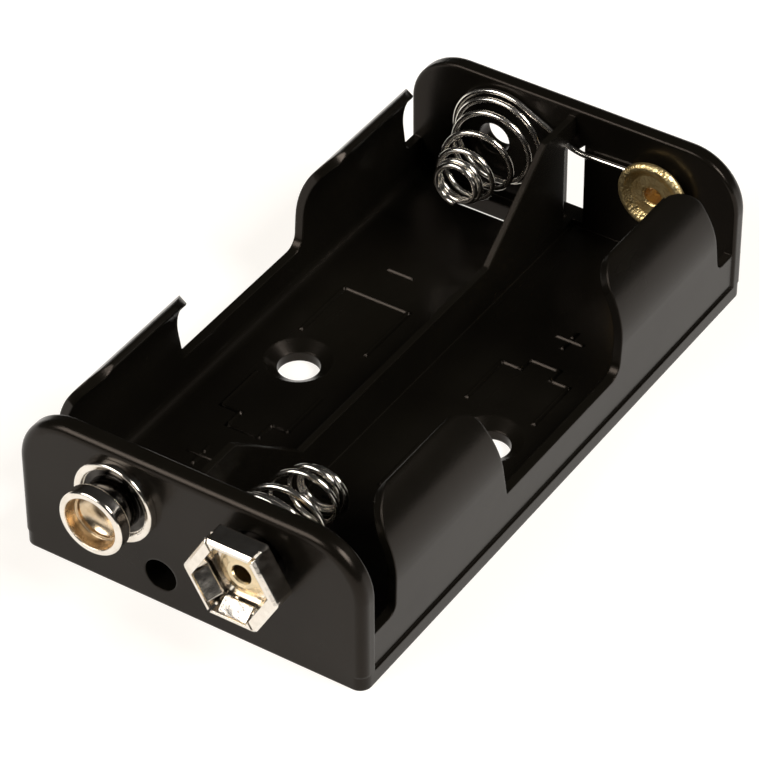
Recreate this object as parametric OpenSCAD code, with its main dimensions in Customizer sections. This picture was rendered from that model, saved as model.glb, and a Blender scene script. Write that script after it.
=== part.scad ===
// Side-by-side holder for two cylindrical cells, with a pair of snap terminals on one end wall.
// X runs across the cells, Y along them and Z up. The origin is the centre of the underside.
// The snaps stand on the wall at -Y.

/* [Cells] */
// Diameter of one cell
cell_d = 14.5; // [13.5:0.1:15.5]
// Length of one cell over its terminal
cell_len = 50.5; // [44:0.5:56]
// Length left at the two ends for a spring and a button
contact_room = 3.5; // [3:0.1:8]

/* [Moulding] */
// Thickness of the floor
floor_t = 1.6; // [1.2:0.1:2.4]
// Thickness of the side walls
side_wall_t = 0.8; // [0.6:0.1:1.4]
// Thickness of the end walls
end_wall_t = 1.7; // [1.4:0.1:2.5]
// Height of the end walls above the underside
end_wall_h = 13.6; // [12.5:0.1:15]
// How far the end walls and the foot stand out past the side walls
overhang = 0.2; // [0.1:0.05:0.5]
// Radius of the top corners of the end walls
end_corner_r = 5; // [3:0.1:5.5]
// Rounding of the outer edges of the end walls
edge_r = 0.8; // [0.4:0.05:0.9]
// Rounding of the inner edges of the end walls
inner_edge_r = 0.3; // [0.1:0.05:0.5]
// Height of the foot under the walls
foot_h = 1.3; // [0.8:0.1:1.5]
// Plan radius of the corners of the foot
foot_corner_r = 1; // [0.9:0.1:3]
// Fillet where the floor meets the side walls
floor_fillet = 1; // [0.4:0.1:2]

/* [Gripping tongues] */
// Height of the low stretch of the side walls
low_wall_h = 4.7; // [3:0.1:6.5]
// How far the centre of the curl lies under the axis of the cell
curl_drop = 1.3; // [0:0.1:2]
// Angle through which the tongues curl over the cell
curl_angle = 48; // [35:1:60]
// Gap between the near tongues and the near end wall
near_slot = 3; // [2:0.1:4]
// Gap between the far tongues and the far end wall
far_slot = 2.4; // [2:0.1:4]
// Length of the low stretch between the tongues
window_len = 17; // [10:0.2:20]
// How far that stretch lies off the middle, towards +Y
window_shift = 0.2; // [-2:0.1:2]
// Radius of the tongues' upper corners beside the low stretch
tongue_r = 3; // [1:0.1:3.5]
// Radius of the tongues' upper corners beside the end walls
tongue_end_r = 3.8; // [1:0.1:4.5]
// Fillet at the foot of the tongues beside the end walls
slot_fillet = 0.9; // [0.3:0.1:1.2]
// Fillet at the foot of the far tongues beside the low stretch
sweep_fillet = 1.3; // [0.5:0.1:3]
// Lean of the tongue edges beside the near end wall
near_slot_lean = 2; // [0:0.5:10]
// Lean of the tongue edges beside the far end wall
far_slot_lean = 9; // [0:0.5:12]
// Lean of the near tongues' edges beside the low stretch
near_window_lean = 11; // [2:0.5:20]
// Lean of the far tongues' edges beside the low stretch
far_window_lean = 5; // [2:0.5:20]

/* [Partition] */
// Thickness of the partition between the cells
partition_t = 0.6; // [0.5:0.1:1.2]
// Height of the low rib in the middle
rib_h = 5.7; // [4:0.1:7]
// Height of the webs at the two ends
web_h = 12.8; // [10:0.1:13]
// Length of the level top of each web
web_flat_l = 4.6; // [3:0.1:6]
// Length of the slope from a web down to the rib
web_slope_l = 8.8; // [5:0.1:14]

/* [Openings] */
// Diameter of the fixing holes in the floor
fixing_hole_d = 3.6; // [2.5:0.1:4.5]
// Spacing of the fixing holes across the holder
fixing_pitch = 18.2; // [14:0.1:20]
// Place of the fixing holes along the holder
fixing_y = -0.4; // [-3:0.1:3]
// Diameter of their countersinks at the floor
sink_d = 5.8; // [4.6:0.1:6.6]
// Depth of their countersinks
sink_depth = 0.7; // [0.3:0.1:1]
// Diameter of the lead hole in the near wall
lead_hole_d = 2.9; // [2:0.1:3]
// Place of the lead hole across the holder
lead_hole_x = -2.65; // [-3:0.05:3]
// Height of the lead hole
lead_hole_z = 2.9; // [2.8:0.05:3.4]
// Diameter of the hole behind the far spring
core_hole_d = 3; // [1.5:0.1:4]
// How far that hole lies under the axis of the cell
core_hole_drop = 1.4; // [0:0.1:2]
// Width of the window behind the jumper wire
jumper_window_w = 2.6; // [2:0.1:4]
// Bottom of the window behind the jumper wire
jumper_window_z = 2.2; // [1.8:0.1:4]
// Length of the floor slot under the far spring
floor_slot_l = 5.9; // [3:0.1:9]
// Width of the floor slot under the far spring
floor_slot_w = 1.9; // [1:0.1:3]

/* [Snap terminals] */
// Centre distance of the two snaps
snap_pitch = 12.7; // [11:0.1:14]
// How far the snaps stand above the axes of the cells
snap_rise = 0.1; // [-0.5:0.05:0.5]
// Height of the snaps above the wall
snap_h = 3.6; // [2.5:0.1:4.5]
// Diameter of the lip of the stud
stud_lip_d = 5.8; // [5:0.1:6.5]
// Width of the lip round the bowl of the stud
stud_lip_w = 0.6; // [0.5:0.05:0.8]
// Length of the head of the stud
stud_head_l = 1.4; // [0.8:0.1:1.6]
// Diameter of the neck of the stud
stud_neck_d = 4.6; // [4.2:0.1:4.8]
// Diameter of the raised ring round the stud
stud_ring_d = 7.2; // [6.6:0.1:8]
// Width of the raised ring
stud_ring_w = 0.65; // [0.5:0.05:0.8]
// Height of the raised ring
stud_ring_h = 0.8; // [0.6:0.1:1.2]
// Depth of the bowl in the end of the stud
stud_bowl_depth = 1.9; // [1:0.1:2]
// Size of the socket across its flats
socket_af = 7.4; // [6.6:0.1:8]
// Depth of the hexagonal part of the socket
socket_depth = 2.3; // [1.6:0.1:2.6]
// Diameter of the round foot of the socket
socket_foot_d = 5.2; // [4.6:0.1:6]
// Rounding of the corners of the socket
socket_corner_r = 0.4; // [0.2:0.05:0.8]
// Width of the lips of the four springy sides of the socket
socket_lip_w = 0.5; // [0.4:0.05:0.7]
// Width of the lips of its two stiff sides
stiff_lip_w = 0.95; // [0.7:0.05:1.1]
// Thickness of the metal of the snaps
snap_metal_t = 0.35; // [0.25:0.05:0.5]

/* [Contacts] */
// Diameter of the spring wire
wire_d = 0.5; // [0.4:0.05:0.6]
// Free length of the near spring from the wall
near_spring_len = 9.8; // [6:0.1:11]
// Free length of the far spring from the wall
far_spring_len = 8.4; // [6:0.1:11]
// Outer diameter of the large end of the springs
spring_big_d = 9.6; // [8:0.1:10]
// Outer diameter of the small end of the springs
spring_tip_d = 4.2; // [3.4:0.1:5]
// Number of turns in each spring
spring_turns = 6.6; // [5:0.1:7.5]
// Number of turns over which each spring narrows
taper_turns = 5.3; // [4:0.1:5.5]
// Share of the length that the closed turns at the two ends take
closed_share = 0.4; // [0.2:0.05:0.7]
// How far the free end of the near spring hangs down
spring_droop = 1.6; // [0:0.1:2]
// Diameter of the contact buttons
button_d = 6.4; // [5.6:0.1:7.2]
// Height of the contact buttons
button_h = 0.8; // [0.6:0.1:1.2]
// How far the far button stands out from the axis of its cell
button_shift = 0.85; // [0:0.05:1.2]
// How far the far button lies under the axis of its cell
button_drop = 0.35; // [-0.3:0.05:0.6]
// Outer diameter of the rivet shanks
shank_d = 2.5; // [2:0.1:3]
// Height of the jumper wire above the underside
jumper_z = 9.5; // [8:0.1:10.5]

/* [Clearances] */
// Gap round a rivet in its hole
rivet_clear = 0.05; // [0.02:0.01:0.15]
// Gap between the wire and what it lies against
wire_clear = 0.05; // [0.02:0.01:0.15]

/* [Hidden] */

$fn = 64;
COLOUR_PLASTIC = [0.10, 0.095, 0.09];
COLOUR_NICKEL = [0.78, 0.76, 0.72];
COLOUR_BRASS = [0.80, 0.64, 0.36];

// Cells and the space round them
cell_x = partition_t / 2 + cell_d / 2;
cell_z = floor_t + cell_d / 2;
inner_l = cell_len + contact_room;
inner_w = 2 * cell_d + partition_t;
body_l = inner_l + 2 * end_wall_t;
body_w = inner_w + 2 * side_wall_t;
foot_w = body_w + 2 * overhang;
weld = end_wall_t / 2;
through = 0.5;

// Tongues
curl_z = cell_z - curl_drop;
curl_in_r = cell_d / 2;
curl_out_r = curl_in_r + side_wall_t;
// Share of a corner's radius that lies inside the tongue's edge
corner_share = 0.98;
// The rounded tip is this much thinner each side than the wall that carries it
tip_inset = 0.02;
tip_r = curl_in_r + side_wall_t / 2;
tip_bead_r = side_wall_t / 2 - tip_inset;
tongue_top = curl_z + tip_r * sin(curl_angle) + tip_bead_r;
near_tongue_end = near_slot - inner_l / 2;
far_tongue_end = inner_l / 2 - far_slot;
window_near = window_shift - window_len / 2;
window_far = window_shift + window_len / 2;

// Snaps and contacts
snap_x = snap_pitch / 2;
snap_z = cell_z + snap_rise;
near_out = -body_l / 2;
near_in = -inner_l / 2;
far_in = inner_l / 2;
far_out = body_l / 2;
wire_r = wire_d / 2;
far_button_x = cell_x + button_shift;
far_button_z = cell_z - button_drop;
shank_r = shank_d / 2;
loop_r = shank_r + wire_clear + wire_r;
wire_seat = wire_r + wire_clear;
wire_stack = wire_d + 2 * wire_clear;
clinch_h = 0.35;
clinch_r = shank_r + 0.65;
shank_bore_r = shank_r - 0.45;
head_t = 0.3;

// ---- Flat shapes ----

// Square corner left over outside a quarter circle whose centre is at [0, r]
module corner_offcut(r) {
    difference() {
        translate([0, -r]) square([2 * r, 2 * r]);
        translate([0, r]) circle(r);
        translate([-r, r]) square([3 * r, r]);
    }
}

// Section of an end wall from its outer face at y = 0, with its rim at x = reach
module end_wall_section(reach) {
    difference() {
        square([reach, end_wall_t]);
        translate([reach - edge_r, 0]) corner_offcut(edge_r);
        translate([reach - inner_edge_r, end_wall_t]) mirror([0, 1]) corner_offcut(inner_edge_r);
    }
}

// Fillet between two square edges that meet at the origin, filling the +X +Y corner
module square_fillet(r) {
    difference() {
        square(r);
        translate([r, r]) circle(r);
    }
}

// Cross section of the right-hand side wall with its curl
module side_wall_section() {
    far_r = 2 * curl_out_r;
    translate([inner_w / 2, 0]) square([side_wall_t, curl_z]);
    translate([cell_x, curl_z]) {
        intersection() {
            difference() {
                circle(curl_out_r, $fn = 128);
                circle(curl_in_r, $fn = 128);
            }
            polygon([[0, 0], [far_r, 0], [far_r, far_r * tan(curl_angle)]]);
        }
        rotate(curl_angle) translate([tip_r, 0]) circle(tip_bead_r, $fn = 32);
    }
    translate([inner_w / 2, floor_t]) mirror([1, 0]) square_fillet(floor_fillet);
}

// Outline of one tongue seen from the side, up past its tip; y0 and y1 are its ends at the low wall
module tongue_outline(y0, y1, lean0, lean1) {
    top_z = tongue_top + through;
    rise = top_z - low_wall_h;
    polygon([
        [y0, 0], [y0, low_wall_h], [y0 + rise * tan(lean0), top_z],
        [y1 - rise * tan(lean1), top_z], [y1, low_wall_h], [y1, 0],
    ]);
}

// Fillet at the foot of a leaning tongue edge that faces -Y
module root_fillet(y, lean, r) {
    centre_y = y - r * (1 - sin(lean)) / cos(lean);
    touch = [centre_y + r * cos(lean), low_wall_h + r - r * sin(lean)];
    difference() {
        polygon([
            [centre_y, low_wall_h - through], [y, low_wall_h - through], [y, low_wall_h], touch,
            [centre_y, low_wall_h + r],
        ]);
        translate([centre_y, low_wall_h + r]) circle(r);
    }
}

// Side view of what stands of a side wall: a low band and two tongues
module side_outline() {
    translate([-inner_l / 2 - weld, 0]) square([inner_l + 2 * weld, low_wall_h]);
    tongue_outline(near_tongue_end, window_near, near_slot_lean, near_window_lean);
    tongue_outline(window_far, far_tongue_end, far_window_lean, far_slot_lean);
    root_fillet(near_tongue_end, near_slot_lean, slot_fillet);
    mirror([1, 0]) root_fillet(-far_tongue_end, far_slot_lean, slot_fillet);
    root_fillet(window_far, far_window_lean, sweep_fillet);
}

// Side view of the partition: a low rib with a higher web at each end
module partition_outline() {
    end_y = inner_l / 2 + weld;
    flat_y = inner_l / 2 - web_flat_l;
    foot_y = flat_y - web_slope_l;
    polygon([
        [-end_y, 0], [end_y, 0], [end_y, web_h], [flat_y, web_h], [foot_y, rib_h],
        [-foot_y, rib_h], [-flat_y, web_h], [-end_y, web_h],
    ]);
}

// ---- Ways to stand a flat shape up ----

// Extrudes a section in X and Z along Y, from y0 to y1
module along_y(y0, y1) {
    translate([0, y1, 0]) rotate([90, 0, 0]) linear_extrude(y1 - y0) children();
}

// Extrudes a side view in Y and Z along X, from x0 to x1
module along_x(x0, x1) {
    translate([x0, 0, 0]) rotate([90, 0, 90]) linear_extrude(x1 - x0) children();
}

// Turns a round piece so that its own +Z points away from the near wall, along -Y
module on_near_wall(x, z) {
    translate([x, near_out, z]) rotate([90, 0, 0]) children();
}

// ---- Moulding ----

// Foot under the whole holder, with rounded corners in plan
module foot() {
    inset_x = foot_w / 2 - foot_corner_r;
    inset_y = body_l / 2 - foot_corner_r;
    linear_extrude(foot_h) {
        square([foot_w, 2 * inset_y], center = true);
        square([2 * inset_x, body_l], center = true);
        for (sx = [-1, 1], sy = [-1, 1]) {
            translate([sx * inset_x, sy * inset_y]) circle(foot_corner_r);
        }
    }
}

// Near end wall with rounded top corners and rounded edges; the far one is its mirror image
module end_wall() {
    inset_x = foot_w / 2 - end_corner_r;
    shoulder_z = end_wall_h - end_corner_r;
    translate([-inset_x, near_out, foot_h]) rotate([0, -90, 180]) mirror([0, 1, 0])
        linear_extrude(2 * inset_x) end_wall_section(end_wall_h - foot_h);
    for (side = [0, 1]) mirror([side, 0, 0]) {
        translate([inset_x, near_out, foot_h])
            linear_extrude(shoulder_z - foot_h) end_wall_section(end_corner_r);
        translate([inset_x, near_out, shoulder_z]) rotate([90, 0, 0]) mirror([0, 0, 1])
            rotate_extrude(angle = 90) end_wall_section(end_corner_r);
    }
}

// What is cut off the right-hand tongue's upper corner that faces -Y, square through the curl
module tongue_corner(y, lean, r) {
    // The cut looks along the curl's radius at the middle of the corner
    look = curl_angle - asin(r / curl_out_r) / 2;
    tip_t = tip_r * sin(curl_angle - look) + side_wall_t / 2;
    centre_t = tip_t - r;
    centre_angle = look + asin(centre_t / curl_out_r);
    centre_z = curl_z + curl_out_r * sin(centre_angle);
    edge_y = y + (centre_z - low_wall_h) * tan(lean);
    // Its round runs out a little past the leaning edge, so that it crosses it cleanly
    centre_y = edge_y + corner_share * r;
    translate([cell_x, 0, curl_z]) rotate([0, -look, 0])
        along_x(curl_in_r - side_wall_t, curl_out_r + side_wall_t) difference() {
            translate([centre_y - 2 * r, centre_t]) square([2 * r, 2 * r]);
            translate([centre_y, centre_t]) circle(r, $fn = 96);
        }
}

module side_walls() {
    for (side = [0, 1]) mirror([side, 0, 0]) difference() {
        intersection() {
            along_y(-inner_l / 2 - weld, inner_l / 2 + weld) side_wall_section();
            along_x(0, foot_w) side_outline();
        }
        tongue_corner(near_tongue_end, near_slot_lean, tongue_end_r);
        tongue_corner(window_far, far_window_lean, tongue_r);
        mirror([0, 1, 0]) {
            tongue_corner(-window_near, near_window_lean, tongue_r);
            tongue_corner(-far_tongue_end, far_slot_lean, tongue_end_r);
        }
    }
}

module fixing_holes() {
    for (side = [-1, 1]) translate([side * fixing_pitch / 2, fixing_y, 0]) {
        translate([0, 0, -through]) cylinder(h = floor_t + 2 * through, d = fixing_hole_d);
        translate([0, 0, floor_t - sink_depth])
            cylinder(h = sink_depth + 0.01, d1 = fixing_hole_d, d2 = sink_d);
    }
}

// Window in the far wall and the notch in the web that the jumper wire runs through
module jumper_openings() {
    notch_l = 1.5;
    step_z = jumper_z - 0.1;
    top_z = jumper_z + 0.75;
    notch_top = jumper_z + 1.2;
    half = jumper_window_w / 2;
    along_y(far_in - through, far_out + through) polygon([
        [-half, jumper_window_z], [half, jumper_window_z], [half, top_z],
        [half - 0.8, step_z], [-half, step_z],
    ]);
    translate([-half, far_in - notch_l, jumper_window_z])
        cube([2 * half, notch_l, notch_top - jumper_window_z]);
}

module holder_body() {
    color(COLOUR_PLASTIC) difference() {
        union() {
            foot();
            translate([-body_w / 2, -inner_l / 2 - weld, 0])
                cube([body_w, inner_l + 2 * weld, floor_t]);
            end_wall();
            mirror([0, 1, 0]) end_wall();
            side_walls();
            along_x(-partition_t / 2, partition_t / 2) partition_outline();
        }
        fixing_holes();
        jumper_openings();
        // Lead hole in the near wall
        translate([lead_hole_x, near_in + through, lead_hole_z]) rotate([90, 0, 0])
            cylinder(h = end_wall_t + 2 * through, d = lead_hole_d);
        // Hole behind the far spring
        translate([-cell_x, far_out + through, cell_z - core_hole_drop]) rotate([90, 0, 0])
            cylinder(h = end_wall_t + 2 * through, d = core_hole_d);
        // Slot in the floor under the far spring
        translate([-cell_x - floor_slot_l / 2, far_in - 0.9 - floor_slot_w, -through])
            cube([floor_slot_l, floor_slot_w, floor_t + 2 * through]);
        // Rivet holes
        for (x = [-snap_x, snap_x]) {
            translate([x, near_in + through, snap_z]) rotate([90, 0, 0])
                cylinder(h = end_wall_t + 2 * through, r = shank_r + rivet_clear);
        }
        translate([far_button_x, far_out + through, far_button_z]) rotate([90, 0, 0])
            cylinder(h = end_wall_t + 2 * through, r = shank_r + rivet_clear);
    }
}

// ---- Snap terminals ----

// Section of an upright band from x = x0 to x1 and up to z, with both of its top edges rounded
module band_section(x0, x1, z, r) {
    translate([x0, 0]) square([x1 - x0, z - r]);
    translate([x0 + r, 0]) square([x1 - x0 - 2 * r, z]);
    for (x = [x0 + r, x1 - r]) translate([x, z - r]) circle(r, $fn = 32);
}

// Section of the bowl in the end of the stud, with a rounded mouth
module bowl_section() {
    mouth_r = (stud_lip_d / 2) - stud_lip_w;
    bottom_z = snap_h - stud_bowl_depth;
    curve_r = min(1.5, stud_bowl_depth, mouth_r);
    edge = 0.12;
    intersection() {
        translate([0, bottom_z]) square([mouth_r, stud_bowl_depth + through]);
        union() {
            translate([0, bottom_z + curve_r]) square([mouth_r, snap_h]);
            translate([0, bottom_z]) square([mouth_r - curve_r, snap_h]);
            translate([mouth_r - curve_r, bottom_z + curve_r]) circle(curve_r, $fn = 64);
        }
    }
    difference() {
        translate([0, snap_h - edge]) square([mouth_r + edge, edge + through]);
        translate([mouth_r + edge, snap_h - edge]) circle(edge, $fn = 24);
    }
}

// Drawn stud: a flange with a raised ring, a neck and a head with a bowl in its end
module stud_terminal() {
    head_r = stud_lip_d / 2;
    neck_r = stud_neck_d / 2;
    ring_r = stud_ring_d / 2;
    head_z = snap_h - stud_head_l;
    floor_z = snap_h - stud_bowl_depth - snap_metal_t;
    front_r = 0.25;
    back_r = 0.3;
    ring_edge_r = 0.2;
    bore_r = shank_r + rivet_clear;
    color(COLOUR_NICKEL) on_near_wall(-snap_x, snap_z) rotate_extrude() {
        // Flange and its raised ring
        translate([bore_r, 0]) square([ring_r - bore_r, snap_metal_t]);
        band_section(ring_r - stud_ring_w, ring_r, stud_ring_h, ring_edge_r);
        // Neck
        translate([neck_r - snap_metal_t, 0]) square([snap_metal_t, head_z + back_r]);
        // Head and its bowl
        difference() {
            union() {
                translate([0, floor_z]) square([neck_r, stud_bowl_depth + snap_metal_t - front_r]);
                translate([0, head_z]) square([head_r - back_r, stud_head_l - front_r]);
                translate([0, head_z + back_r]) square([head_r, stud_head_l - back_r - front_r]);
                translate([0, snap_h - 2 * front_r]) square([head_r - front_r, 2 * front_r]);
                translate([head_r - back_r, head_z + back_r]) circle(back_r, $fn = 32);
                translate([head_r - front_r, snap_h - front_r]) circle(front_r, $fn = 32);
            }
            bowl_section();
        }
    }
}

// Hexagon with rounded corners, one of which lies on +X
module rounded_hexagon(flats, r) {
    centre_r = (flats / 2 - r) / cos(30);
    polygon([
        for (corner = [0 : 60 : 300], bend = [-30, 30])
            centre_r * [cos(corner), sin(corner)] + r * [cos(corner + bend), sin(corner + bend)]
    ]);
    for (corner = [0 : 60 : 300]) rotate(corner) translate([centre_r, 0]) circle(r, $fn = 32);
}

// Six-sided prism from z0 to z1, bevelled at both of its ends
module bevelled_prism(flats, z0, z1, bevel) {
    r = flats / 2 / cos(30);
    small_r = r - bevel / cos(30);
    translate([0, 0, z0]) cylinder(h = bevel, r1 = small_r, r2 = r, $fn = 6);
    translate([0, 0, z0 + bevel]) cylinder(h = z1 - z0 - 2 * bevel, r = r, $fn = 6);
    translate([0, 0, z1 - bevel]) cylinder(h = bevel, r1 = r, r2 = small_r, $fn = 6);
}

// Spring petal behind the lip of one side: a strip that bows in from the lip and back out
module petal(lip_w) {
    root = socket_af / 2 - lip_w;
    waist = socket_af / 2 - 1.3;
    foot = socket_af / 2 - 0.9;
    root_z = snap_h - snap_metal_t / 2;
    waist_z = snap_h - 1.3;
    foot_z = snap_h - socket_depth + snap_metal_t + 0.15;
    sheet = 0.22;
    width = 2 * waist * tan(30) - 0.2;
    translate([0, width / 2, 0]) rotate([90, 0, 0]) linear_extrude(width) polygon([
        [root, root_z], [root + sheet, root_z], [waist + sheet, waist_z], [foot + sheet, foot_z],
        [foot, foot_z], [waist, waist_z],
    ]);
}

// Hexagonal socket: a round foot, two stiff sides and four springy ones, with lips turned inwards
module socket_terminal() {
    cup_z = snap_h - socket_depth;
    bevel = 0.25;
    wall_flats = socket_af - 2 * snap_metal_t;
    slit_w = 0.2;
    slit_h = 1.1;
    stiff_side = 150;
    bore_r = shank_r + rivet_clear;
    reach_x = socket_af;
    color(COLOUR_NICKEL) on_near_wall(snap_x, snap_z) {
        difference() {
            union() {
                cylinder(h = cup_z + snap_metal_t, d = socket_foot_d);
                intersection() {
                    translate([0, 0, cup_z])
                        linear_extrude(socket_depth) rounded_hexagon(socket_af, socket_corner_r);
                    bevelled_prism(socket_af, cup_z, snap_h, bevel);
                }
            }
            translate([0, 0, -through]) cylinder(h = snap_h + 2 * through, r = bore_r);
            translate([0, 0, cup_z + snap_metal_t])
                cylinder(h = socket_depth - 2 * snap_metal_t, r = wall_flats / 2 / cos(30), $fn = 6);
            // Mouth, narrower between the two stiff sides
            translate([0, 0, cup_z + snap_metal_t]) linear_extrude(socket_depth) intersection() {
                circle((socket_af / 2 - socket_lip_w) / cos(30), $fn = 6);
                rotate(stiff_side) square([socket_af - 2 * stiff_lip_w, 2 * reach_x], center = true);
            }
            // Slits at the four corners beside the springy sides
            for (turn = [60, 120]) rotate([0, 0, turn])
                translate([-reach_x, -slit_w / 2, snap_h - slit_h])
                    cube([2 * reach_x, slit_w, slit_h + through]);
        }
        for (side = [30 : 60 : 330]) rotate([0, 0, side])
            petal(side % 180 == stiff_side ? stiff_lip_w : socket_lip_w);
    }
}

// ---- Rivets ----

// Half section of a dished contact button with a rounded rim, standing on z = 0
module button_section(bore_r) {
    r = button_d / 2;
    rim = button_h / 2;
    crest = r - rim;
    slope_w = 0.8;
    dish_z = button_h / 2;
    mouth_r = bore_r + 0.2;
    translate([crest, rim]) circle(rim, $fn = 32);
    polygon([
        [bore_r, 0], [crest, 0], [crest, button_h], [crest - slope_w, dish_z],
        [mouth_r, dish_z], [bore_r, dish_z - 0.2],
    ]);
}

// Half section of a hollow shank from z = z0, with its end clinched over at z = grip
module shank_section(z0, grip) {
    end_z = grip + clinch_h;
    half_z = grip + clinch_h / 2;
    translate([shank_bore_r, z0]) square([shank_r - shank_bore_r, half_z - z0]);
    polygon([
        [shank_bore_r, grip], [clinch_r, grip], [clinch_r, half_z],
        [shank_r, end_z], [shank_bore_r + 0.1, end_z], [shank_bore_r, half_z],
    ]);
}

// Hollow rivet along +Z: its head lies on z = 0 facing -Z, and its clinched end lies on z = grip
module hollow_rivet(grip) {
    rotate_extrude() {
        mirror([0, 1]) button_section(shank_bore_r);
        shank_section(-head_t, grip);
    }
}

// Rivet of the stud; its head is the button that meets the cell in the left channel
module stud_rivet() {
    color(COLOUR_BRASS) translate([-snap_x, near_in, snap_z]) rotate([90, 0, 0])
        hollow_rivet(end_wall_t + snap_metal_t);
}

// Rivet of the socket; its flat head clamps the near spring
module socket_rivet() {
    grip = wire_stack + end_wall_t + snap_h - socket_depth + snap_metal_t;
    head_r = loop_r + wire_r + 0.4;
    color(COLOUR_NICKEL) translate([snap_x, near_in + wire_stack, snap_z]) rotate([90, 0, 0])
        rotate_extrude() {
            shank_section(-head_t, grip);
            translate([shank_bore_r, -head_t]) square([head_r - head_t / 2 - shank_bore_r, head_t]);
            translate([head_r - head_t / 2, -head_t / 2]) circle(head_t / 2, $fn = 24);
        }
}

// Rivet of the far wall; its head is a button and clamps the loop of the jumper wire
module far_rivet() {
    color(COLOUR_BRASS) translate([far_button_x, far_in - wire_stack, far_button_z])
        rotate([-90, 0, 0]) hollow_rivet(wire_stack + end_wall_t);
}

// ---- Springs ----

// Steps per turn and sides of the round wire
turn_steps = 24;
wire_sides = 8;
// Share of the coil at which its turns stand furthest apart
open_share = 0.8;
// Shares of the flat spiral that stay close round the shank and that widen out from it
round_share = 0.45;
// Where the near coil starts round its axis, its axis from the shank and how its tip drifts
near_start = 287;
near_axis = [-0.6, -0.4];
near_drift = -1.1;
near_loop_turns = 1.5;
// Last open part of a turn at the tip of the near coil and how much wider it ends
near_end_turns = 0.45;
near_end_flare = 0.8;
// The same for the far coil, whose axis is taken from the axis of the cell
far_start = 57;
far_axis = [0.8, -0.7];
far_drift = 0.4;
far_loop_turns = 0.9;
far_loop_start = 130;
// Rise of the jumper wire beside the partition and where it meets the loop
jumper_hump = 0.3;
jumper_end_rise = 0.15;

function unit(v) = v / norm(v);

// Direction of a path of points at point i
function path_dir(path, i) =
    unit(path[min(i + 1, len(path) - 1)] - path[max(i - 1, 0)]);

// Points round a wire at point i of its path
function wire_ring(path, i) =
    let (
        dir = path_dir(path, i),
        side = unit(cross(dir, [0.05, 1, 0.03])),
        up = cross(side, dir)
    )
    [
        for (k = [0 : wire_sides - 1])
            let (a = 360 * k / wire_sides)
            path[i] + wire_r * (cos(a) * side + sin(a) * up)
    ];

// Sweeps a round wire along a path that never runs along Y for long
module wire(path) {
    n = len(path);
    rings = [for (i = [0 : n - 1]) each wire_ring(path, i)];
    walls = [
        for (i = [0 : n - 2], k = [0 : wire_sides - 1])
            let (a = i * wire_sides + k, b = i * wire_sides + (k + 1) % wire_sides)
            [a, b, b + wire_sides, a + wire_sides]
    ];
    first = [for (k = [0 : wire_sides - 1]) wire_sides - 1 - k];
    last = [for (k = [0 : wire_sides - 1]) (n - 1) * wire_sides + k];
    polyhedron(points = rings, faces = concat(walls, [first], [last]), convexity = 10);
}

// Share of the length reached after share t of the turns: slow at both ends, where they close up
function reach(t) =
    let (gone = pow(t, 3), left = pow(open_share * (1 - t), 3))
    closed_share * t + (1 - closed_share) * gone / (gone + left);

// Radius of the wire's centre after k turns
function coil_r(k) =
    let (big = spring_big_d / 2 - wire_r, tip = spring_tip_d / 2 - wire_r)
    max(tip, big - (big - tip) * k / taper_turns);

// Point of a coil after k turns; the coil stands on y = 0 and runs along +Y
function coil_point(start, way, length, lean, k) =
    let (t = k / spring_turns, r = coil_r(k), a = start + way * 360 * k)
    [
        lean[0] * t + r * cos(a),
        wire_seat + (length - wire_seat - wire_r) * reach(t),
        lean[1] * t * t + r * sin(a),
    ];

// Whole coil; lean is how far its tip lies off its axis in X and Z
function coil_path(start, way, length, lean) = [
    for (i = [0 : spring_turns * turn_steps])
        coil_point(start, way, length, lean, i / turn_steps)
];

// Flat spiral from a loop round a shank at the origin out to the point [x, z]
function loop_path(way, x, z, turns) =
    let (end_a = atan2(z, x), end_r = norm([x, z]), n = round(turns * turn_steps))
    [
        for (i = [0 : n - 1])
            let (
                t = max(0, i / n - round_share) / (1 - round_share),
                r = loop_r + (end_r - loop_r) * t * t * (3 - 2 * t),
                a = end_a - way * 360 * (n - i) / turn_steps
            )
            [r * cos(a), wire_seat, r * sin(a)]
    ];

// Spring of the right channel, wound down from a loop under the head of its rivet
module near_spring() {
    way = -1;
    axis = [near_axis[0], 0, near_axis[1]];
    lean = [near_drift, -spring_droop];
    coil = [for (p = coil_path(near_start, way, near_spring_len, lean)) p + axis];
    steps = round(near_end_turns * turn_steps);
    tip = axis + [lean[0], near_spring_len - wire_r, lean[1]];
    end = [
        for (i = [1 : steps])
            let (
                r = coil_r(spring_turns) + near_end_flare * i / steps,
                a = near_start + way * 360 * (spring_turns + i / turn_steps)
            )
            tip + r * [cos(a), 0, sin(a)]
    ];
    loop = loop_path(way, coil[0].x, coil[0].z, near_loop_turns);
    color(COLOUR_NICKEL) translate([snap_x, near_in, snap_z]) wire(concat(loop, coil, end));
}

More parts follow.
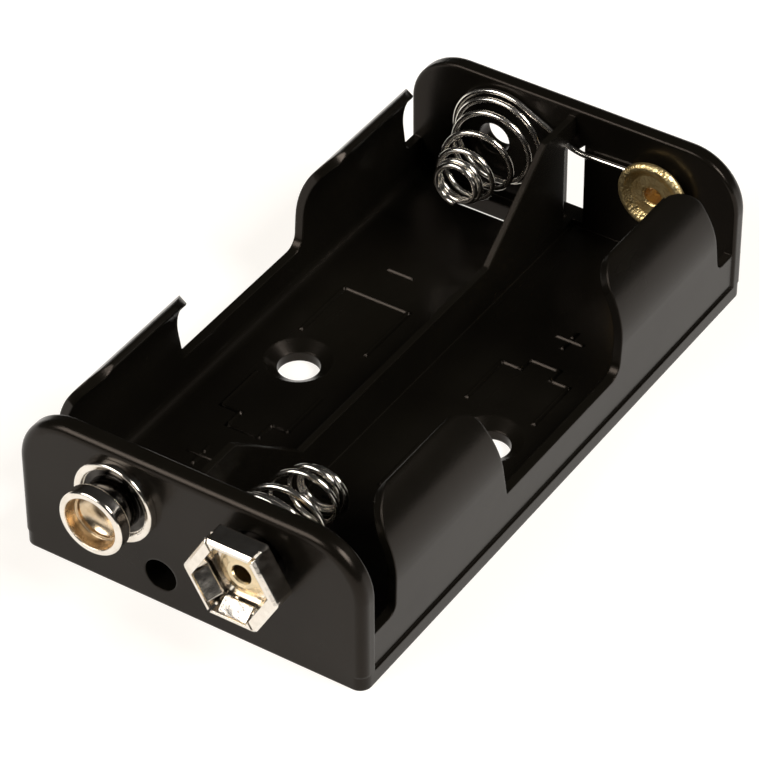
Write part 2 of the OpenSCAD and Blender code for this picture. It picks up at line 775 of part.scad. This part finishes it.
// Spring of the left channel, its jumper and the loop under the far button, in one wire
module far_spring_wire() {
    seat_y = far_in - wire_seat;
    axis_x = far_axis[0] - cell_x;
    axis_z = far_axis[1] + cell_z;
    coil = [
        for (p = coil_path(far_start, 1, far_spring_len, [far_drift, 0]))
            [axis_x + p.x, far_in - p.y, axis_z + p.z]
    ];
    tail = coil[0];
    back_coil = [for (i = [len(coil) - 1 : -1 : 0]) coil[i]];
    hump = [0, seat_y, jumper_z + jumper_hump];
    link = [for (t = [0.2, 0.5, 0.8, 1]) tail * (1 - t) + hump * t];
    step = [jumper_window_w / 2, seat_y, jumper_z];
    loop = [
        for (i = [0 : far_loop_turns * turn_steps])
            let (a = far_loop_start - 360 * i / turn_steps)
            [far_button_x + loop_r * cos(a), seat_y, far_button_z + loop_r * sin(a)]
    ];
    join = [far_button_x - loop_r, seat_y, jumper_z + jumper_end_rise];
    color(COLOUR_NICKEL) wire(concat(back_coil, link, [step, (step + join) / 2, join], loop));
}

holder_body();
stud_terminal();
socket_terminal();
stud_rivet();
socket_rivet();
far_rivet();
near_spring();
far_spring_wire();
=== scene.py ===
from math import atan2, cos, hypot, pi, radians, sin

import bmesh
import bpy
from mathutils import Matrix, Vector


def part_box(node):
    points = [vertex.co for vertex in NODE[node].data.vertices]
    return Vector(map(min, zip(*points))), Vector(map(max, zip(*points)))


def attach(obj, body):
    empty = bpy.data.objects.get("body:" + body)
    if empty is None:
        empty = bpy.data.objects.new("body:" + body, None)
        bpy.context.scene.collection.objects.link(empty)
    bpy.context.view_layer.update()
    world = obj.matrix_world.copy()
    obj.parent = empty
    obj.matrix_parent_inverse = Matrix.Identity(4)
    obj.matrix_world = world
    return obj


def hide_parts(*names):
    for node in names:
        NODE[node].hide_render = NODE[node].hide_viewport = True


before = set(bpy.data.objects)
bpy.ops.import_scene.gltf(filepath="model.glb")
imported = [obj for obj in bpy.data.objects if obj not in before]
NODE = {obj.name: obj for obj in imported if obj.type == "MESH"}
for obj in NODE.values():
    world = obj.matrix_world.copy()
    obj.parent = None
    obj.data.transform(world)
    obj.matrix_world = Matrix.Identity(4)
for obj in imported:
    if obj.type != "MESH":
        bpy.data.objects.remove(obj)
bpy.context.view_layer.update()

MM = 0.001


# ---------------------------------------------------------------- meshes

def mesh_object(name, bm, sharp_angle):
    """Object from a bmesh, shaded smooth up to the sharp angle in degrees."""
    me = bpy.data.meshes.new(name)
    bmesh.ops.recalc_face_normals(bm, faces=bm.faces)
    bm.to_mesh(me)
    bm.free()
    for poly in me.polygons:
        poly.use_smooth = True
    me.set_sharp_from_angle(angle=radians(sharp_angle))
    ob = bpy.data.objects.new(name, me)
    bpy.context.scene.collection.objects.link(ob)
    return ob


def dress(ob, mat):
    """Material, slot and body of a new piece of the part."""
    ob.data.materials.append(mat)
    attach(ob, "root")


def band(bm, ring_a, ring_b):
    """Faces between two closed rings of as many points."""
    n = len(ring_a)
    for k in range(n):
        j = (k + 1) % n
        bm.faces.new((ring_a[k], ring_a[j], ring_b[j], ring_b[k]))


def tube(bm, rings):
    """Closed body from rings of points, with a flat face at each end."""
    for ring_a, ring_b in zip(rings, rings[1:]):
        band(bm, ring_a, ring_b)
    bm.faces.new(rings[0][::-1])
    bm.faces.new(rings[-1])


# ---------------------------------------------------------------- node trees

class Tree:
    """Short way to fill a node tree: each method adds a node and returns its output."""

    def __init__(self, tree):
        self.nodes = tree.nodes
        self.links = tree.links

    def new(self, kind):
        return self.nodes.new("ShaderNode" + kind)

    def put(self, value, socket):
        """Sets a socket to a constant, or links it to another node's output."""
        if isinstance(value, (int, float, tuple)):
            socket.default_value = value
        else:
            self.links.new(value, socket)

    def ramp(self, fac, stops):
        r = self.new("ValToRGB")
        elements = r.color_ramp.elements
        while len(elements) < len(stops):
            elements.new(0.5)
        for element, (position, color) in zip(elements, stops):
            element.position = position
            element.color = color
        self.put(fac, r.inputs[0])
        return r.outputs[0]

    def math(self, operation, a, b=None):
        m = self.new("Math")
        m.operation = operation
        self.put(a, m.inputs[0])
        if b is not None:
            self.put(b, m.inputs[1])
        return m.outputs[0]

    def range(self, value, lo, hi, to_lo=0.0, to_hi=1.0):
        m = self.new("MapRange")
        for i, v in enumerate((value, lo, hi, to_lo, to_hi)):
            self.put(v, m.inputs[i])
        return m.outputs[0]

    def split(self, vector):
        s = self.new("SeparateXYZ")
        self.put(vector, s.inputs[0])
        return s.outputs


class Surface(Tree):
    """Material with one Principled shader, patterned in the model's own metres."""

    SOCKETS = {"color": "Base Color", "rough": "Roughness", "metal": "Metallic",
               "spec": "Specular IOR Level", "tint": "Specular Tint", "normal": "Normal"}
    NOISE_LO = 0.3      # nearly all values of a noise lie between these two
    NOISE_HI = 0.7
    FLAT = 1.0          # the bevelled normal against the true one, on a flat and on an edge
    ROUND = 0.8

    def __init__(self, name):
        self.mat = bpy.data.materials.new(name)
        self.mat.use_nodes = True
        super().__init__(self.mat.node_tree)
        self.nodes.clear()
        self.bsdf = self.new("BsdfPrincipled")
        self.put(self.bsdf.outputs[0], self.new("OutputMaterial").inputs["Surface"])
        self.place = self.new("TexCoord").outputs["Object"]

    def noise(self, scale, detail, rough, stretch=None):
        n = self.new("TexNoise")
        place = self.place
        if stretch:
            mapping = self.new("Mapping")
            self.put(place, mapping.inputs["Vector"])
            self.put(stretch, mapping.inputs["Scale"])
            place = mapping.outputs[0]
        self.put(place, n.inputs["Vector"])
        self.put(scale, n.inputs["Scale"])
        self.put(detail, n.inputs["Detail"])
        self.put(rough, n.inputs["Roughness"])
        return n.outputs["Fac"]

    def cells(self, scale):
        c = self.new("TexVoronoi")
        self.put(self.place, c.inputs["Vector"])
        self.put(scale, c.inputs["Scale"])
        return c.outputs["Distance"]

    def spread(self, noise, ends):
        """A noise spread over the two ends of a value."""
        return self.range(noise, self.NOISE_LO, self.NOISE_HI, *ends)

    def blend(self, noise, low, high, lo=NOISE_LO, hi=NOISE_HI):
        """Colours of a noise, from low to high."""
        return self.ramp(noise, [(lo, low), (hi, high)])

    def mix(self, fac, a, b):
        m = self.new("Mix")
        m.data_type = "RGBA"
        for value, i in ((fac, 0), (a, 6), (b, 7)):
            self.put(value, m.inputs[i])
        return m.outputs[2]

    def bump(self, height, strength, distance, normal=None):
        b = self.new("Bump")
        self.put(height, b.inputs["Height"])
        self.put(strength, b.inputs["Strength"])
        self.put(distance, b.inputs["Distance"])
        if normal is not None:
            self.put(normal, b.inputs["Normal"])
        return b.outputs[0]

    def bevel(self, radius, samples=6):
        b = self.new("Bevel")
        b.samples = samples
        self.put(radius, b.inputs["Radius"])
        return b.outputs[0]

    def edge(self, radius):
        """1 on edges, 0 on flats."""
        d = self.new("VectorMath")
        d.operation = "DOT_PRODUCT"
        self.put(self.bevel(radius), d.inputs[0])
        self.put(self.new("NewGeometry").outputs["Normal"], d.inputs[1])
        return self.range(d.outputs["Value"], self.FLAT, self.ROUND)

    def shade(self, **values):
        """Fills sockets of the shader and returns the material."""
        for key, value in values.items():
            self.put(value, self.bsdf.inputs[self.SOCKETS[key]])
        return self.mat


# ---------------------------------------------------------------- materials

BLACK_LOW = (0.003677, 0.003035, 0.002125, 1.0)
BLACK_HIGH = (0.006049, 0.005182, 0.003677, 1.0)
# painted highlight colour for the moulding's edges
BLACK_EDGE_SHEEN = (0.061246, 0.051269, 0.039546, 1.0)
WIRE_LOW = (0.70, 0.66, 0.60, 1.0)
WIRE_HIGH = (0.88, 0.84, 0.78, 1.0)
LIP_LOW = (0.74, 0.68, 0.60, 1.0)
LIP_HIGH = (0.86, 0.81, 0.74, 1.0)
# painted shade for the groove behind a snap's lip
GROOVE_SHADE_LOW = (0.02, 0.018, 0.016, 1.0)
GROOVE_SHADE_HIGH = (0.06, 0.055, 0.05, 1.0)
RIVET_TINT = (0.78, 0.64, 0.42)
BRASS_LOW = (0.96, 0.69, 0.29)
BRASS_HIGH = (1.0, 0.82, 0.45)
# painted shade for the bore of a brass contact
BORE_SHADE = (0.42, 0.22, 0.06, 1.0)

WARM_GLOSS = (1.0, 0.84, 0.72, 1.0)     # tint of what the moulding mirrors
EDGE_SHEEN_SHARE = 0.05                             # share of painted highlight on the moulding's edges
GROOVE_R = 2.95 * MM                    # groove between a snap's lip and its foot
SOFT = 0.1 * MM                         # width in which one finish passes into the next


def scaled(color, share):
    """Colour times a share, opaque."""
    return (*(c * share for c in color), 1.0)


def plastic(name, gloss):
    """Satin black moulding; gloss is its roughness from the smoothest to the dullest flow line."""
    m = Surface(name)
    cloud = m.noise(scale=90, detail=4, rough=0.6)
    flow = m.noise(scale=240, detail=3, rough=0.5, stretch=(1.0, 0.22, 1.0))
    grain = m.noise(scale=5200, detail=2, rough=0.5)
    wave = m.noise(scale=420, detail=2, rough=0.4)
    # painted highlight: the moulding's edges are lightened by a share of the edge mask
    edge_sheen = m.math("MULTIPLY", m.edge(0.2 * MM), EDGE_SHEEN_SHARE)
    color = m.mix(edge_sheen, m.blend(cloud, BLACK_LOW, BLACK_HIGH), BLACK_EDGE_SHEEN)
    height = m.math("ADD", m.math("MULTIPLY", grain, 0.3), wave)
    normal = m.bump(height, strength=0.1, distance=0.1 * MM, normal=m.bevel(0.22 * MM))
    return m.shade(color=color, rough=m.spread(flow, gloss), spec=0.2, tint=WARM_GLOSS,
                   normal=normal)


def rivet_plate():
    """Plated rivet: smeared gloss, fine pits and a slow wave in its surface."""
    m = Surface("rivet_plate")
    smear = m.noise(scale=1200, detail=4, rough=0.6)
    spots = m.noise(scale=4200, detail=2, rough=0.5)
    slow = m.noise(scale=720, detail=2, rough=0.4)
    color = m.blend(smear, scaled(RIVET_TINT, 0.8), scaled(RIVET_TINT, 1.0), lo=0.32, hi=0.68)
    height = m.math("ADD", smear, m.math("MULTIPLY", spots, 0.4))
    skin = m.bump(height, strength=0.1, distance=0.06 * MM, normal=m.bevel(0.08 * MM, samples=4))
    normal = m.bump(slow, strength=0.35, distance=0.12 * MM, normal=skin)
    return m.shade(color=color, rough=m.spread(smear, (0.14, 0.26)), metal=1.0, normal=normal)


def spring_wire():
    """Drawn and plated spring wire: long smooth streaks with faint dull stretches."""
    m = Surface("spring_wire")
    smear = m.noise(scale=1500, detail=3, rough=0.5)
    fine = m.noise(scale=6000, detail=2, rough=0.5)
    return m.shade(color=m.blend(smear, WIRE_LOW, WIRE_HIGH), rough=m.spread(smear, (0.15, 0.23)),
                   metal=1.0, normal=m.bump(fine, strength=0.03, distance=0.04 * MM))


def round_about_y(name, node):
    """Tree of a round node's material, distance from the node's axis, Y, and Y at its front."""
    lo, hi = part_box(node)
    m = Surface(name)
    x, y, z = m.split(m.place)
    dx = m.math("SUBTRACT", x, (lo[0] + hi[0]) / 2)
    dz = m.math("SUBTRACT", z, (lo[2] + hi[2]) / 2)
    r = m.math("SQRT", m.math("ADD", m.math("MULTIPLY", dx, dx), m.math("MULTIPLY", dz, dz)))
    return m, r, y, lo[1]


def snap_plate(name, node, head_r, neck_r, lip_y, foot_y, gold, scale, wave):
    """Bright nickel lip, a painted warm reflection inside, and painted shade in the groove behind
    the lip.

    The painted reflection reaches out to head_r in the lip and to neck_r behind it. The lip ends
    lip_y behind the front, and the foot begins at foot_y.
    """
    m, r, y, front = round_about_y(name, node)
    smear = m.noise(scale=scale, detail=4, rough=0.6)
    bright = m.blend(smear, LIP_LOW, LIP_HIGH)
    warm_reflection = m.blend(smear, *gold)
    dark = m.blend(smear, GROOVE_SHADE_LOW, GROOVE_SHADE_HIGH)
    # painted warm reflection inside the snap's lip and neck
    limit = m.range(y, front + lip_y, front + lip_y + SOFT, head_r, neck_r)
    inner = m.range(m.math("SUBTRACT", r, limit), 0.0, -0.8 * SOFT)
    # painted shade: the groove behind the lip, near the axis, is darkened
    behind_lip = m.range(y, front + lip_y, front + lip_y + 1.2 * SOFT)
    before_foot = m.range(y, front + foot_y, front + foot_y + SOFT, 1.0, 0.0)
    near_axis = m.range(r, GROOVE_R, GROOVE_R - SOFT)
    groove = m.math("MULTIPLY", m.math("MULTIPLY", behind_lip, before_foot), near_axis)
    color = m.mix(inner, m.mix(groove, bright, dark), warm_reflection)
    rough = m.math("ADD", m.spread(smear, (0.09, 0.18)), m.math("MULTIPLY", inner, 0.12))
    slow = m.noise(scale=scale * 0.55, detail=2, rough=0.4)
    fine = m.noise(scale=scale * 4, detail=3, rough=0.6)
    skin = m.bump(fine, strength=0.1, distance=0.05 * MM, normal=m.bevel(0.14 * MM))
    normal = m.bump(slow, strength=0.5, distance=wave, normal=skin)
    return m.shade(color=color, rough=rough, metal=1.0, normal=normal)


def brass(name, node, bore_r, painted_light):
    """Pressed brass: matt, speckled skin whose colours a painted light level scales, and a bore
    darkened with painted shade.
    """
    m, r, _, _ = round_about_y(name, node)
    smear = m.noise(scale=900, detail=4, rough=0.6)
    skin = m.blend(smear, scaled(BRASS_LOW, painted_light), scaled(BRASS_HIGH, painted_light), hi=0.72)
    # painted shade: the bore is darkened
    color = m.mix(m.range(r, bore_r, bore_r - SOFT), skin, BORE_SHADE)
    height = m.math("ADD", m.cells(4600), smear)
    normal = m.bump(height, strength=0.5, distance=0.1 * MM, normal=m.bevel(0.1 * MM, samples=4))
    return m.shade(color=color, rough=m.spread(smear, (0.32, 0.46)), metal=1.0, normal=normal)


BLACK = plastic("black_moulding", (0.2, 0.28))
MARK = plastic("polished_mark", (0.1, 0.16))
STUD = snap_plate("stud_plate", "stud_terminal", head_r=2.4 * MM, neck_r=2.1 * MM,
                  lip_y=1.35 * MM, foot_y=3.3 * MM, scale=800, wave=0.12 * MM,
                  gold=((0.52, 0.39, 0.24, 1.0), (0.80, 0.67, 0.50, 1.0)))
SOCKET = snap_plate("socket_plate", "socket_terminal", head_r=2.2 * MM, neck_r=2.2 * MM,
                    lip_y=2.4 * MM, foot_y=9 * MM, scale=900, wave=0.15 * MM,
                    gold=((0.56, 0.44, 0.27, 1.0), (0.82, 0.72, 0.55, 1.0)))
NICKEL_RIVET = rivet_plate()
WIRE = spring_wire()
# the near contact is the far one's brass painted darker, as painted shade
BRASS_NEAR = brass("near_contact", "stud_rivet", bore_r=0.7 * MM, painted_light=0.85)
BRASS_FAR = brass("far_contact", "far_rivet", bore_r=0.85 * MM, painted_light=1.0)

for node, mat in (("holder_body", BLACK), ("stud_terminal", STUD), ("socket_terminal", SOCKET),
                  ("stud_rivet", BRASS_NEAR), ("socket_rivet", NICKEL_RIVET),
                  ("far_rivet", BRASS_FAR), ("near_spring", WIRE), ("far_spring_wire", WIRE)):
    for material_slot in NODE[node].material_slots:
        material_slot.material = mat


# ---------------------------------------------------------------- springs
# Finer wires in place of the CAD's, on the same paths. Lengths are in mm, angles in degrees.

CELL_X = 7.55           # middle of a channel
CELL_Z = 8.85
SNAP_X = 6.35           # middle of the socket and of its rivet
SNAP_Z = 8.95
INNER_END = 27.0        # inner face of each end wall

WIRE_D = 0.52           # drawn a little thicker than the 0.5 that the path is worked out for
WIRE_R = 0.25
WIRE_SEAT = 0.3         # centre of the wire from the wall
BIG_R = 4.8 - WIRE_R    # centre line of the widest and of the narrowest turn
TIP_R = 2.1 - WIRE_R
LOOP_R = 1.55           # loop round a rivet's shank
TURNS = 6.6
TAPER = 5.3             # turns until the coil is at its narrowest
CLOSED = 0.4            # share of the rise that is even; the rest is steepest half way
OPEN_SHARE = 0.8        # below 1 the steepest part comes sooner
STEPS = 44              # points a turn
SIDES = 14              # points round the wire
POINT_GAP = 0.35        # widest gap between two points of the path

NEAR_COIL = {"start": 287, "way": -1, "length": 9.8, "lean": (-1.1, -1.6)}
NEAR_AXIS = Vector((-0.6, 0, -0.4))     # foot of the coil, from the rivet's middle
NEAR_LOOP_TURNS = 1.5
LOOP_HOLD = 0.45        # share of the loop that keeps to the shank
END_TURNS = 0.45        # last stretch of the tip, which flares
END_FLARE = 0.8

FAR_COIL = {"start": 57, "way": 1, "length": 8.4, "lean": (0.4, 0)}
FAR_AXIS = (0.8 - CELL_X, CELL_Z - 0.7)         # foot of the coil
FAR_LOOP = (CELL_X + 0.85, CELL_Z - 0.35)       # middle of the far rivet
FAR_LOOP_START = 130
FAR_LOOP_TURNS = 0.9
JUMPER_SHARES = (0.2, 0.5, 0.8, 1)      # points on the straight stretch up from the coil
JUMPER_TOP = (0, 9.8)                   # over the partition
JUMPER_DIP = (1.3, 9.5)
JUMPER_END_Z = 9.65                     # where it meets the loop

END_CAP = ((0.0, 1.0), (0.06, 0.9), (0.12, 0.55))   # rounded cut: reach and share of the radius


def circle(r, a):
    """Point on a circle about Y, at an angle in radians."""
    return Vector((r * cos(a), 0, r * sin(a)))


def reach(t):
    """Share of the rise at a share t of the turns: close at both ends, open between them."""
    gone = t ** 3
    left = (OPEN_SHARE * (1 - t)) ** 3
    return CLOSED * t + (1 - CLOSED) * gone / (gone + left)


def coil_r(turn):
    return max(TIP_R, BIG_R - (BIG_R - TIP_R) * turn / TAPER)


def coil_angle(start, way, turn):
    return radians(start + way * 360 * turn)


def coil(start, way, length, lean):
    """Centre line of a tapered coil that stands on y = 0 and runs along +Y."""
    out = []
    for i in range(int(TURNS * STEPS) + 1):
        turn = i / STEPS
        t = turn / TURNS
        y = WIRE_SEAT + (length - WIRE_SEAT - WIRE_R) * reach(t)
        out.append(Vector((lean[0] * t, y, lean[1] * t * t))
                   + circle(coil_r(turn), coil_angle(start, way, turn)))
    return out


def spiral(way, x, z, turns):
    """Flat spiral from a loop round a shank at the origin out to x, z."""
    end_a = atan2(z, x)
    end_r = hypot(x, z)
    n = round(turns * STEPS)
    seat = Vector((0, WIRE_SEAT, 0))
    out = []
    for i in range(n):
        t = max(0.0, i / n - LOOP_HOLD) / (1 - LOOP_HOLD)
        r = LOOP_R + (end_r - LOOP_R) * t * t * (3 - 2 * t)
        out.append(seat + circle(r, end_a - way * 2 * pi * (n - i) / STEPS))
    return out


def near_path():
    """Loop under the socket's rivet, coil along +Y, flared last turn."""
    start, way = NEAR_COIL["start"], NEAR_COIL["way"]
    lean_x, lean_z = NEAR_COIL["lean"]
    body = [p + NEAR_AXIS for p in coil(**NEAR_COIL)]
    loop = spiral(way, body[0].x, body[0].z, NEAR_LOOP_TURNS)
    tip = NEAR_AXIS + Vector((lean_x, NEAR_COIL["length"] - WIRE_R, lean_z))
    end = []
    steps = round(END_TURNS * STEPS)
    for i in range(1, steps + 1):
        r = coil_r(TURNS) + END_FLARE * i / steps
        end.append(tip + circle(r, coil_angle(start, way, TURNS + i / STEPS)))
    rivet = Vector((SNAP_X, -INNER_END, SNAP_Z))
    return [rivet + p for p in loop + body + end]


def far_path():
    """Coil along -Y, jumper over the partition, loop under the far rivet."""
    def at_wall(x, z):
        return Vector((x, INNER_END - WIRE_SEAT, z))

    x, z = FAR_AXIS
    body = [Vector((x + p.x, INNER_END - p.y, z + p.z)) for p in coil(**FAR_COIL)]
    tail, top, dip = body[0], at_wall(*JUMPER_TOP), at_wall(*JUMPER_DIP)
    rivet = at_wall(*FAR_LOOP)
    join = at_wall(rivet.x - LOOP_R, JUMPER_END_Z)
    jumper = [tail.lerp(top, t) for t in JUMPER_SHARES] + [dip, dip.lerp(join, 0.5), join]
    loop = [rivet + circle(LOOP_R, radians(FAR_LOOP_START) - 2 * pi * i / STEPS)
            for i in range(int(FAR_LOOP_TURNS * STEPS) + 1)]
    return body[::-1] + jumper + loop


def dense(path):
    """Path with points added where they lie far apart."""
    out = [path[0]]
    for p in path[1:]:
        base = out[-1]
        n = max(1, round((p - base).length / POINT_GAP))
        out += [base.lerp(p, (i + 1) / n) for i in range(n)]
    return out


def smooth_corners(path, passes=3):
    """Eases the few sharp turns of a path where its stretches meet."""
    for _ in range(passes):
        inner = [p * 0.6 + (before + after) * 0.2
                 for before, p, after in zip(path, path[1:], path[2:])]
        path = [path[0], *inner, path[-1]]
    return path


def swept_wire(name, path, node):
    """Round wire along a path, with cut ends a little rounded, in place of a node."""
    path = smooth_corners(dense(path))
    last = len(path) - 1
    bm = bmesh.new()
    rings = []
    side = None
    for i, p in enumerate(path):
        ahead = (path[min(i + 1, last)] - path[max(i - 1, 0)]).normalized()
        side = ahead.orthogonal() if side is None else side - ahead * side.dot(ahead)
        side.normalize()
        up = ahead.cross(side)
        cuts = END_CAP[:1]
        if i == 0:
            cuts = [(-shift, share) for shift, share in END_CAP[::-1]]
        if i == last:
            cuts = END_CAP
        for shift, share in cuts:
            r = WIRE_D / 2 * share
            centre = p + ahead * shift * WIRE_D
            angles = [2 * pi * k / SIDES for k in range(SIDES)]
            rings.append([bm.verts.new((centre + side * (r * cos(a)) + up * (r * sin(a))) * MM)
                          for a in angles])
    tube(bm, rings)
    ob = mesh_object(name, bm, sharp_angle=50)
    dress(ob, WIRE)
    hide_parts(node)


swept_wire("near_coil", near_path(), "near_spring")
swept_wire("far_coil", far_path(), "far_spring_wire")


# ---------------------------------------------------------------- moulded marks on the floor
# Lengths are in mm.

FLOOR_Z = 1.6
MARK_H = 0.2
MARK_W = 0.48
MARK_FLANK = 0.2        # width of the sloping flank
MARK_SINK = 0.03        # how far a ridge reaches into the floor
SIGN_ARM = 1.1          # half of a plus or a minus


def minus(x, y, arm=SIGN_ARM):
    return [[(x - arm, y), (x + arm, y)]]


def plus(x, y):
    """The upright is in two pieces, clear of the cross line."""
    below = [(x, y - SIGN_ARM), (x, y - MARK_W)]
    above = [(x, y + MARK_W), (x, y + SIGN_ARM)]
    return [*minus(x, y), below, above]


# In each channel the outline of a cell with its nub, broken round the hole, a plus and a minus.
MARKS = [
    [(-11.1, 3.0), (-11.1, 9.4), (-4.8, 9.4), (-4.8, 3.0)],
    [(-11.1, -3.6), (-11.1, -8.4), (-9.3, -8.4), (-9.3, -10.2),
     (-6.3, -10.2), (-6.3, -8.4), (-4.8, -8.4), (-4.8, -3.6)],
    *plus(-9.0, -14.4),
    *minus(-8.2, 13.4),
    [(4.9, 3.0), (4.9, 8.3), (6.7, 8.3), (6.7, 9.7),
     (9.5, 9.7), (9.5, 8.3), (11.2, 8.3), (11.2, 3.0)],
    [(4.9, -4.0), (4.9, -9.6), (11.2, -9.6), (11.2, -4.0)],
    *plus(8.2, 13.5),
    *minus(3.05, -13.2, 1.05),
]


def ridge(bm, a, b):
    """Low moulded ridge from a to b on the floor, with sloping flanks."""
    a, b = Vector((*a, 0)), Vector((*b, 0))
    along = (b - a).normalized()
    across = Vector((-along.y, along.x, 0))
    foot, top = MARK_W / 2, MARK_W / 2 - MARK_FLANK
    rings = []
    for z, half in ((-MARK_SINK, foot), (0.0, foot), (MARK_H, top)):
        ring = []
        for end, s in ((a, -1), (b, 1)):
            for c in (-s, s):
                p = end + (along * s + across * c) * half
                ring.append(bm.verts.new(Vector((p.x, p.y, FLOOR_Z + z)) * MM))
        rings.append(ring)
    tube(bm, rings)


def floor_marks():
    bm = bmesh.new()
    for line in MARKS:
        for a, b in zip(line, line[1:]):
            ridge(bm, a, b)
    dress(mesh_object("floor_marks", bm, sharp_angle=25), MARK)


floor_marks()


# ---------------------------------------------------------------- floor, sky, lamps and camera

FLOOR_SIZE = 2.5
FLOOR_DROP = 0.02 * MM
PAPER = (0.82, 0.82, 0.82, 1.0)             # what lights the object
PAPER_SEEN = (0.34, 0.34, 0.34, 1.0)        # what the eye and mirrors see, which keeps the shadow
PAPER_GLOW = (1.0, 0.96, 0.905, 1.0)
PAPER_GLOW_STRENGTH = 0.82

# Level of the sky from straight down (0) to straight up (1), and its tint.
SKY = ((0.0, 0.4), (0.49, 0.4), (0.515, 0.035), (0.68, 0.018), (1.0, 0.03))
SKY_TINT = (1.0, 0.985, 0.96)

# Name, place, size, watts and colour; each lamp is turned towards the middle of the part.
LAMPS = (("key", (0.64, 0.12, 0.7), (0.5, 0.36), 8.0, (1, 0.985, 0.96)),
         ("front", (-0.44, -0.74, 0.66), (0.8, 0.5), 9.0, (1, 0.97, 0.93)))
MIDDLE = Vector((0, 0, 6 * MM))

CAMERA_AZ = radians(33.323)
CAMERA_EL = radians(39.835)
CAMERA_ROLL = radians(-0.377)
CAMERA_DISTANCE = 327.9955 * MM
CAMERA_SHIFT = (-1.22 * MM, -2.106 * MM)    # of the picture's middle, to the right and up
FOCAL_PX = 4118.0                           # in pixels of a picture this wide
WIDTH_PX = 760.0
SENSOR = 36.0
CLIP = (0.01, 20.0)


def paper():
    """White paper that is lit for the object's sake, and near white to the eye and in mirrors."""
    mat = bpy.data.materials.new("floor_paper")
    mat.use_nodes = True
    t = Tree(mat.node_tree)
    t.nodes.clear()
    plain, seen = t.new("BsdfDiffuse"), t.new("BsdfDiffuse")
    t.put(PAPER, plain.inputs["Color"])
    t.put(PAPER_SEEN, seen.inputs["Color"])
    glow = t.new("Emission")
    t.put(PAPER_GLOW, glow.inputs["Color"])
    t.put(PAPER_GLOW_STRENGTH, glow.inputs["Strength"])
    white = t.new("AddShader")
    t.put(glow.outputs[0], white.inputs[0])
    t.put(seen.outputs[0], white.inputs[1])
    ray = t.new("LightPath").outputs
    eye_or_mirror = t.math("MAXIMUM", ray["Is Camera Ray"], ray["Is Glossy Ray"])
    choice = t.new("MixShader")
    t.put(t.math("MAXIMUM", eye_or_mirror, ray["Is Transmission Ray"]), choice.inputs[0])
    t.put(plain.outputs[0], choice.inputs[1])
    t.put(white.outputs[0], choice.inputs[2])
    t.put(choice.outputs[0], t.new("OutputMaterial").inputs["Surface"])
    return mat


def stage():
    bm = bmesh.new()
    bmesh.ops.create_grid(bm, x_segments=1, y_segments=1, size=FLOOR_SIZE)
    floor = mesh_object("floor", bm, sharp_angle=180)
    floor.location.z = -FLOOR_DROP
    floor.data.materials.append(paper())


def sky():
    """Grey below the horizon, nearly dark above it, a little warm."""
    world = bpy.data.worlds.new("studio")
    bpy.context.scene.world = world
    world.use_nodes = True
    t = Tree(world.node_tree)
    height = t.split(t.new("TexCoord").outputs["Generated"])["Z"]
    stops = [(height_share, scaled(SKY_TINT, level)) for height_share, level in SKY]
    background = t.nodes["Background"]
    t.put(t.ramp(t.range(height, -1.0, 1.0), stops), background.inputs["Color"])
    t.put(1.0, background.inputs["Strength"])


def area(name, place, size, watts, color):
    data = bpy.data.lights.new(name, "AREA")
    data.shape = "RECTANGLE"
    data.size, data.size_y = size
    data.energy = watts
    data.color = color
    ob = bpy.data.objects.new(name, data)
    bpy.context.scene.collection.objects.link(ob)
    ob.location = place
    ob.rotation_euler = (MIDDLE - Vector(place)).to_track_quat("-Z", "Y").to_euler()


def camera():
    """Camera that looks at the middle of the part, turned by the roll and shifted."""
    level = Vector((cos(CAMERA_AZ), sin(CAMERA_AZ), 0))
    ahead = Vector((-sin(CAMERA_AZ) * cos(CAMERA_EL), cos(CAMERA_AZ) * cos(CAMERA_EL),
                    -sin(CAMERA_EL)))
    upright = level.cross(ahead)
    right = level * cos(CAMERA_ROLL) + upright * sin(CAMERA_ROLL)
    up = upright * cos(CAMERA_ROLL) - level * sin(CAMERA_ROLL)
    shift = right * CAMERA_SHIFT[0] + up * CAMERA_SHIFT[1]
    data = bpy.data.cameras.new("camera")
    data.sensor_width = SENSOR
    data.lens = FOCAL_PX * SENSOR / WIDTH_PX
    data.clip_start, data.clip_end = CLIP
    ob = bpy.data.objects.new("camera", data)
    bpy.context.scene.collection.objects.link(ob)
    turn = Matrix((right, up, -ahead)).transposed().to_4x4()
    ob.matrix_world = Matrix.Translation(MIDDLE + shift - ahead * CAMERA_DISTANCE) @ turn
    bpy.context.scene.camera = ob


camera()
stage()
sky()
for lamp in LAMPS:
    area(*lamp)
bpy.context.scene.view_settings.view_transform = "Standard"
